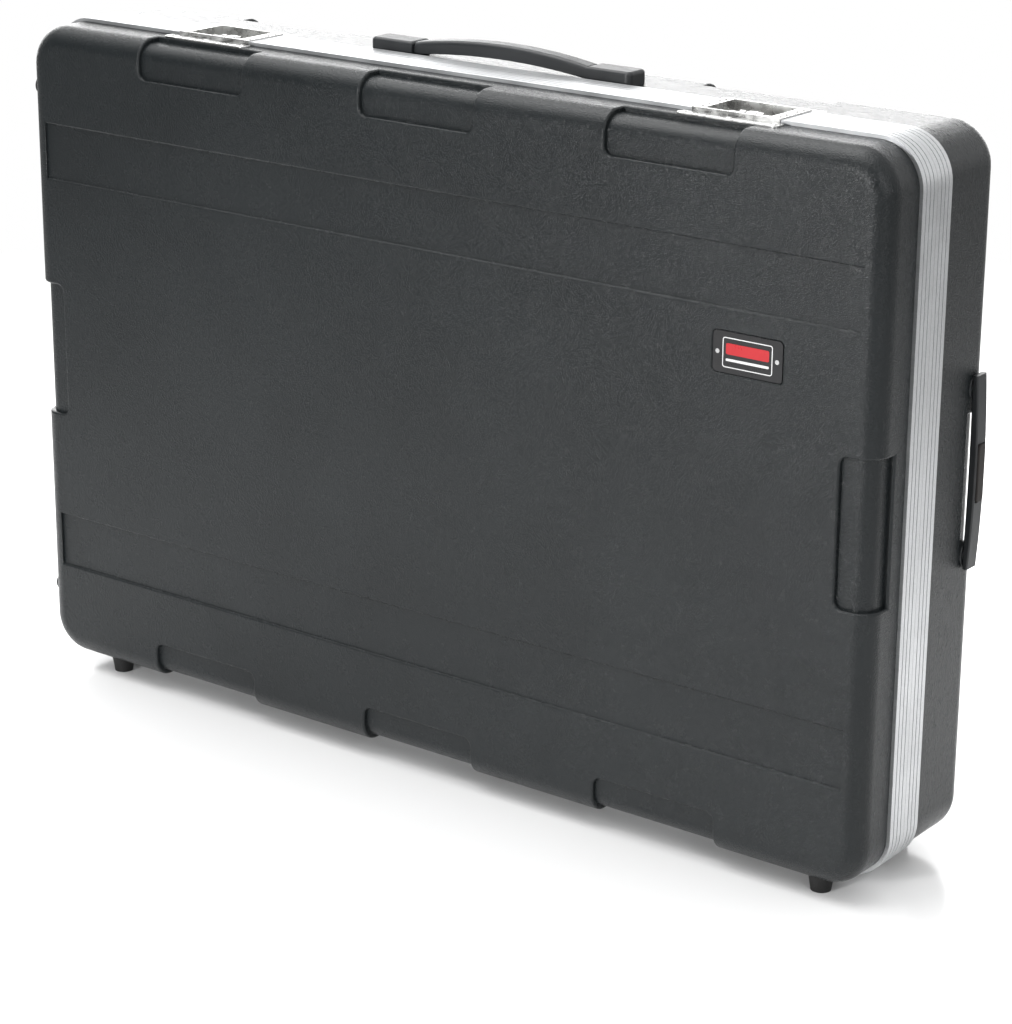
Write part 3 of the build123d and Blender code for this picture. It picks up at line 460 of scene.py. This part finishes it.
# Rivets, repeated by one node tree
def rivet_tree():
    """Geometry tree: a domed head, a shank and a tail on every point of the input."""
    tree = bpy.data.node_groups.new("rivet_rows", "GeometryNodeTree")
    face = tree.interface
    face.new_socket("Geometry", in_out="INPUT", socket_type="NodeSocketGeometry")
    sizes = (("Head radius", RIVET_HEAD), ("Head height", RIVET_DOME), ("Shank radius", RIVET_SHANK),
             ("Grip length", RIVET_GRIP), ("Tail height", RIVET_TAIL), ("Turn over", 0.0))
    for label, value in sizes:
        socket = face.new_socket(label, in_out="INPUT", socket_type="NodeSocketFloat")
        socket.default_value = value
    face.new_socket("Finish", in_out="INPUT", socket_type="NodeSocketMaterial")
    face.new_socket("Geometry", in_out="OUTPUT", socket_type="NodeSocketGeometry")
    given = tree.nodes.new("NodeGroupInput")
    result = tree.nodes.new("NodeGroupOutput")
    link = tree.links.new

    def node(kind, **values):
        made = tree.nodes.new(kind)
        for key, value in values.items():
            made.inputs[key.replace("_", " ")].default_value = value
        return made

    def maths(operation, a, b):
        made = tree.nodes.new("ShaderNodeMath")
        made.operation = operation
        for socket, value in zip(made.inputs, (a, b)):
            if isinstance(value, float):
                socket.default_value = value
            else:
                link(value, socket)
        return made.outputs[0]

    def lowered(z):
        """Transform that moves its input along z."""
        offset = tree.nodes.new("ShaderNodeCombineXYZ")
        link(z, offset.inputs["Z"])
        moved = tree.nodes.new("GeometryNodeTransform")
        link(offset.outputs[0], moved.inputs["Translation"])
        return moved

    def flattened(z):
        """Transform that scales its input along z."""
        scale = node("ShaderNodeCombineXYZ", X=1.0, Y=1.0)
        link(z, scale.inputs["Z"])
        pressed = tree.nodes.new("GeometryNodeTransform")
        link(scale.outputs[0], pressed.inputs["Scale"])
        return pressed

    head = node("GeometryNodeMeshUVSphere", Segments=20, Rings=10)
    link(given.outputs["Head radius"], head.inputs["Radius"])
    head_at = flattened(maths("DIVIDE", given.outputs["Head height"], given.outputs["Head radius"]))
    link(head.outputs["Mesh"], head_at.inputs["Geometry"])
    shank = node("GeometryNodeMeshCylinder", Vertices=16)
    link(given.outputs["Shank radius"], shank.inputs["Radius"])
    link(given.outputs["Grip length"], shank.inputs["Depth"])
    shank_at = lowered(maths("MULTIPLY", given.outputs["Grip length"], -0.5))
    link(shank.outputs["Mesh"], shank_at.inputs["Geometry"])
    tail = node("GeometryNodeMeshCylinder", Vertices=20)
    link(given.outputs["Head radius"], tail.inputs["Radius"])
    link(given.outputs["Tail height"], tail.inputs["Depth"])
    half_tail = maths("MULTIPLY", given.outputs["Tail height"], -0.5)
    tail_at = lowered(maths("SUBTRACT", half_tail, given.outputs["Grip length"]))
    link(tail.outputs["Mesh"], tail_at.inputs["Geometry"])
    joined = tree.nodes.new("GeometryNodeJoinGeometry")
    for part in (head_at, shank_at, tail_at):
        link(part.outputs["Geometry"], joined.inputs[0])
    rows = tree.nodes.new("GeometryNodeInstanceOnPoints")
    turn = tree.nodes.new("ShaderNodeCombineXYZ")
    link(given.outputs["Turn over"], turn.inputs["X"])
    link(given.outputs["Geometry"], rows.inputs["Points"])
    link(joined.outputs[0], rows.inputs["Instance"])
    link(turn.outputs[0], rows.inputs["Rotation"])
    real = tree.nodes.new("GeometryNodeRealizeInstances")
    paint = tree.nodes.new("GeometryNodeSetMaterial")
    link(rows.outputs[0], real.inputs[0])
    link(real.outputs[0], paint.inputs["Geometry"])
    link(given.outputs["Finish"], paint.inputs["Material"])
    link(paint.outputs[0], result.inputs[0])
    return tree


def rivet_row(name, node, tree, points, grip, turned=0.0):
    """Rivets at the given points, as one plain mesh that stands for the node."""
    seeds = bpy.data.meshes.new(name + "_places")
    seeds.from_pydata(points, [], [])
    holder = link_mesh(name + "_holder", seeds)
    modifier = holder.modifiers.new("rivets", "NODES")
    modifier.node_group = tree
    wanted = {"Grip length": grip, "Turn over": turned, "Finish": FINISH[SLOT_OF[node]]}
    for item in tree.interface.items_tree:
        if item.in_out == "INPUT" and item.name in wanted:
            modifier[item.identifier] = wanted[item.name]
    bpy.context.view_layer.update()
    ready = holder.evaluated_get(bpy.context.evaluated_depsgraph_get())
    mesh = bpy.data.meshes.new_from_object(ready)
    mesh.name = name
    bpy.data.objects.remove(holder)
    for face in mesh.polygons:
        face.use_smooth = True
    mesh.set_sharp_from_angle(angle=RIVET_SHARP)
    finished(link_mesh(name, mesh), node)


def rivet_all():
    """Rivets of the latches and the hinges, on both halves."""
    tree = rivet_tree()
    parting_y = (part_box("hinge_pins")[0].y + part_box("hinge_pins")[1].y) / 2
    shell_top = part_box("lid_shell")[1].z
    valance_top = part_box("lid_valance")[1].z
    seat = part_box("lid_valance")[0].z - HINGE_SHEET
    for side, half in ((-1, "lid"), (1, "base")):
        above = []
        for latch in ("left", "right"):
            low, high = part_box(f"latch_{latch}_lid_dish")
            x = (low.x + high.x) / 2
            for along in (-DISH_RIVET_ALONG, 0, DISH_RIVET_ALONG):
                above.append((x + along, parting_y + side * DISH_RIVET_OUT, shell_top + LATCH_SHEET))
            for along in (-FLANGE_RIVET_ALONG, FLANGE_RIVET_ALONG):
                for out in FLANGE_RIVET_OUT:
                    above.append((x + along, parting_y + side * out, valance_top + LATCH_SHEET))
        rivet_row(f"latch_rivet_rows_{half}", f"latch_rivets_{half}", tree, above, LATCH_GRIP)
        under = []
        for number in (1, 2, 3):
            low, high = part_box(f"hinge_{number}_{half}_leaf")
            x = (low.x + high.x) / 2
            for along in (-HINGE_RIVET_ALONG, HINGE_RIVET_ALONG):
                under.append((x + along, parting_y + side * HINGE_RIVET_OUT, seat))
        rivet_row(f"hinge_rivet_rows_{half}", f"hinge_rivets_{half}", tree, under, HINGE_GRIP, math.pi)


# Badge face
def rounded_prism(name, centre, width, height, front_y, thick, radius, hole=None):
    """Rounded flat plate facing the front, or a frame of width hole where that is given."""
    def loop(w, h, r):
        """Outline of a rounded rectangle about the centre."""
        points = []
        for quarter, (sx, sz) in enumerate(((1, 1), (-1, 1), (-1, -1), (1, -1))):
            for step in range(7):
                angle = math.pi / 2 * (quarter + step / 6)
                points.append((centre[0] + sx * (w / 2 - r) + r * math.cos(angle),
                               centre[1] + sz * (h / 2 - r) + r * math.sin(angle)))
        return points

    shape = bmesh.new()
    outer = loop(width, height, radius)
    inner = loop(width - 2 * hole, height - 2 * hole, max(radius - hole, LEAST_ROUND)) if hole else None
    front = [shape.verts.new((x, front_y, z)) for x, z in outer]
    back = [shape.verts.new((x, front_y + thick, z)) for x, z in outer]
    count = len(outer)
    for index in range(count):
        nxt = (index + 1) % count
        shape.faces.new((front[index], front[nxt], back[nxt], back[index]))
    if inner:
        front_in = [shape.verts.new((x, front_y, z)) for x, z in inner]
        back_in = [shape.verts.new((x, front_y + thick, z)) for x, z in inner]
        for index in range(count):
            nxt = (index + 1) % count
            shape.faces.new((front_in[nxt], front_in[index], back_in[index], back_in[nxt]))
            shape.faces.new((front[nxt], front[index], front_in[index], front_in[nxt]))
            shape.faces.new((back[index], back[nxt], back_in[nxt], back_in[index]))
    else:
        shape.faces.new(reversed(front))
        shape.faces.new(back)
    bmesh.ops.recalc_face_normals(shape, faces=shape.faces)
    mesh = bpy.data.meshes.new(name)
    shape.to_mesh(mesh)
    shape.free()
    return link_mesh(name, mesh)


def dress_badge():
    """Plain badge: a thin white border round a red bar with a white rule under it."""
    low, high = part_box("badge_plate")
    x, z = (low.x + high.x) / 2, (low.z + high.z) / 2
    front_y = low.y - BADGE_PROUD
    marks = [("badge_border", 51 * MM, 27 * MM, 0, 2.5 * MM, 0.8 * MM, BADGE_WHITE),
             ("badge_bar", 44 * MM, 10 * MM, 3.4 * MM, 1.6 * MM, None, BADGE_RED),
             ("badge_rule", 44 * MM, 2.2 * MM, -6.5 * MM, 1.0 * MM, None, BADGE_WHITE)]
    for name, width, height, up, radius, hole, paint in marks:
        mark = rounded_prism(name, (x, z + up), width, height, front_y, BADGE_MARK_THICK, radius, hole)
        mark.data.materials.append(paint)
        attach(mark, BODY_OF["badge_plate"])


# Studio
def pale_floor():
    """Large white floor with a faint shine, which keeps the case's shadow."""
    shape = bmesh.new()
    reach = 14.0
    shape.faces.new([shape.verts.new((x, y, -0.0002)) for x, y in
                     ((-reach, -reach), (reach, -reach), (reach, reach), (-reach, reach))])
    mesh = bpy.data.meshes.new("studio_floor")
    shape.to_mesh(mesh)
    shape.free()
    floor = link_mesh("studio_floor", mesh)
    material = new_material("studio_floor_white")
    tree = material.node_tree
    haze = noise(tree, object_coords(tree), 2, 2)
    colour = tint(tree, haze, (0.93, 0.93, 0.93), (0.95, 0.95, 0.95))
    surface(tree, colour, spread(tree, haze, 0.16, 0.2), specular=0.5)
    output = next(node for node in tree.nodes if node.type == "OUTPUT_MATERIAL")
    shader = next(node for node in tree.nodes if node.type == "BSDF_PRINCIPLED")
    far = add(tree, "ShaderNodeVectorMath", operation="LENGTH")
    tree.links.new(object_coords(tree), far.inputs[0])
    glow = add(tree, "ShaderNodeEmission")
    path = add(tree, "ShaderNodeLightPath")
    tree.links.new(spread(tree, path.outputs["Is Camera Ray"], 0.4, 1.0, 0, 1), glow.inputs["Strength"])
    fade = add(tree, "ShaderNodeMixShader")
    tree.links.new(spread(tree, far.outputs["Value"], 0, 1, 1.1, 2.2), fade.inputs[0])
    tree.links.new(shader.outputs[0], fade.inputs[1])
    tree.links.new(glow.outputs[0], fade.inputs[2])
    tree.links.new(fade.outputs[0], output.inputs["Surface"])
    floor.data.materials.append(material)


def studio_world():
    """White behind and above, dim in front, and plain white where the camera looks past the floor."""
    world = bpy.data.worlds.new("studio_world")
    bpy.context.scene.world = world
    world.use_nodes = True
    tree = world.node_tree
    tree.nodes.clear()
    coords = add(tree, "ShaderNodeTexCoord")
    split = add(tree, "ShaderNodeSeparateXYZ")
    tree.links.new(coords.outputs["Generated"], split.inputs[0])
    behind = spread(tree, split.outputs["Y"], 0.0, 1.0, -0.25, 0.35)
    above = spread(tree, split.outputs["Z"], 0.0, 1.0, 0.25, 0.9)
    most = add(tree, "ShaderNodeMath", operation="MAXIMUM")
    tree.links.new(behind, most.inputs[0])
    tree.links.new(above, most.inputs[1])
    room = tint(tree, most.outputs[0], (0.05, 0.052, 0.055), (1.0, 1.0, 1.0))
    path = add(tree, "ShaderNodeLightPath")
    seen = add(tree, "ShaderNodeMix", data_type="RGBA")
    tree.links.new(path.outputs["Is Camera Ray"], seen.inputs["Factor"])
    tree.links.new(room, seen.inputs[6])
    seen.inputs[7].default_value = (1, 1, 1, 1)
    light = add(tree, "ShaderNodeBackground", Strength=1.0)
    tree.links.new(seen.outputs[2], light.inputs["Color"])
    output = add(tree, "ShaderNodeOutputWorld")
    tree.links.new(light.outputs[0], output.inputs["Surface"])


def soft_lamp(name, place, target, width, height, power):
    """Rectangular soft box that faces its target."""
    lamp = bpy.data.lights.new(name, "AREA")
    lamp.shape = "RECTANGLE"
    lamp.size, lamp.size_y = width, height
    lamp.energy = power
    holder = bpy.data.objects.new(name, lamp)
    bpy.context.scene.collection.objects.link(holder)
    holder.location = place
    holder.rotation_euler = (Vector(target) - Vector(place)).to_track_quat("-Z", "Y").to_euler()


def light_studio():
    """Soft boxes above, at the right front, in front and behind."""
    centre = (0, 0, 0.35)
    soft_lamp("top_box", (-0.8, -0.3, 3.2), centre, 3.2, 2.4, 95)
    soft_lamp("right_box", (2.9, -1.7, 1.7), centre, 0.5, 1.6, 30)
    soft_lamp("key_box", (-0.3, -3.2, 0.9), (0.3, 0, 0.4), 0.3, 0.3, 60)
    soft_lamp("back_box", (-1.9, 2.5, 1.0), (0, 0, 0.7), 4.2, 1.7, 75)


def photo_camera():
    """Camera at the photograph's place, from angles and a distance fitted to the case."""
    azimuth, elevation, roll = (math.radians(angle) for angle in (37.15, 18.61, 0.43))
    place = Vector((1.71699, -2.2221, 1.19192))
    focal_px, long_side_px, sensor = 3031.2, 1024, 36.0
    forward = Vector((-math.sin(azimuth) * math.cos(elevation), math.cos(azimuth) * math.cos(elevation),
                      -math.sin(elevation)))
    right = Vector((math.cos(azimuth), math.sin(azimuth), 0))
    up = right.cross(forward)
    across = right * math.cos(roll) + up * math.sin(roll)
    over = up * math.cos(roll) - right * math.sin(roll)
    camera = bpy.data.cameras.new("photo_camera")
    camera.sensor_width = sensor
    camera.lens = focal_px * sensor / long_side_px
    camera.clip_end = 60
    holder = bpy.data.objects.new("photo_camera", camera)
    bpy.context.scene.collection.objects.link(holder)
    turn = Matrix((across, over, -forward)).transposed()
    holder.matrix_world = Matrix.Translation(place) @ turn.to_4x4()
    bpy.context.scene.camera = holder


finish_cad_nodes()
soften_shells()
line_with_foam()
rivet_all()
dress_badge()
pale_floor()
studio_world()
light_studio()
photo_camera()
bpy.context.scene.view_settings.view_transform = "Standard"
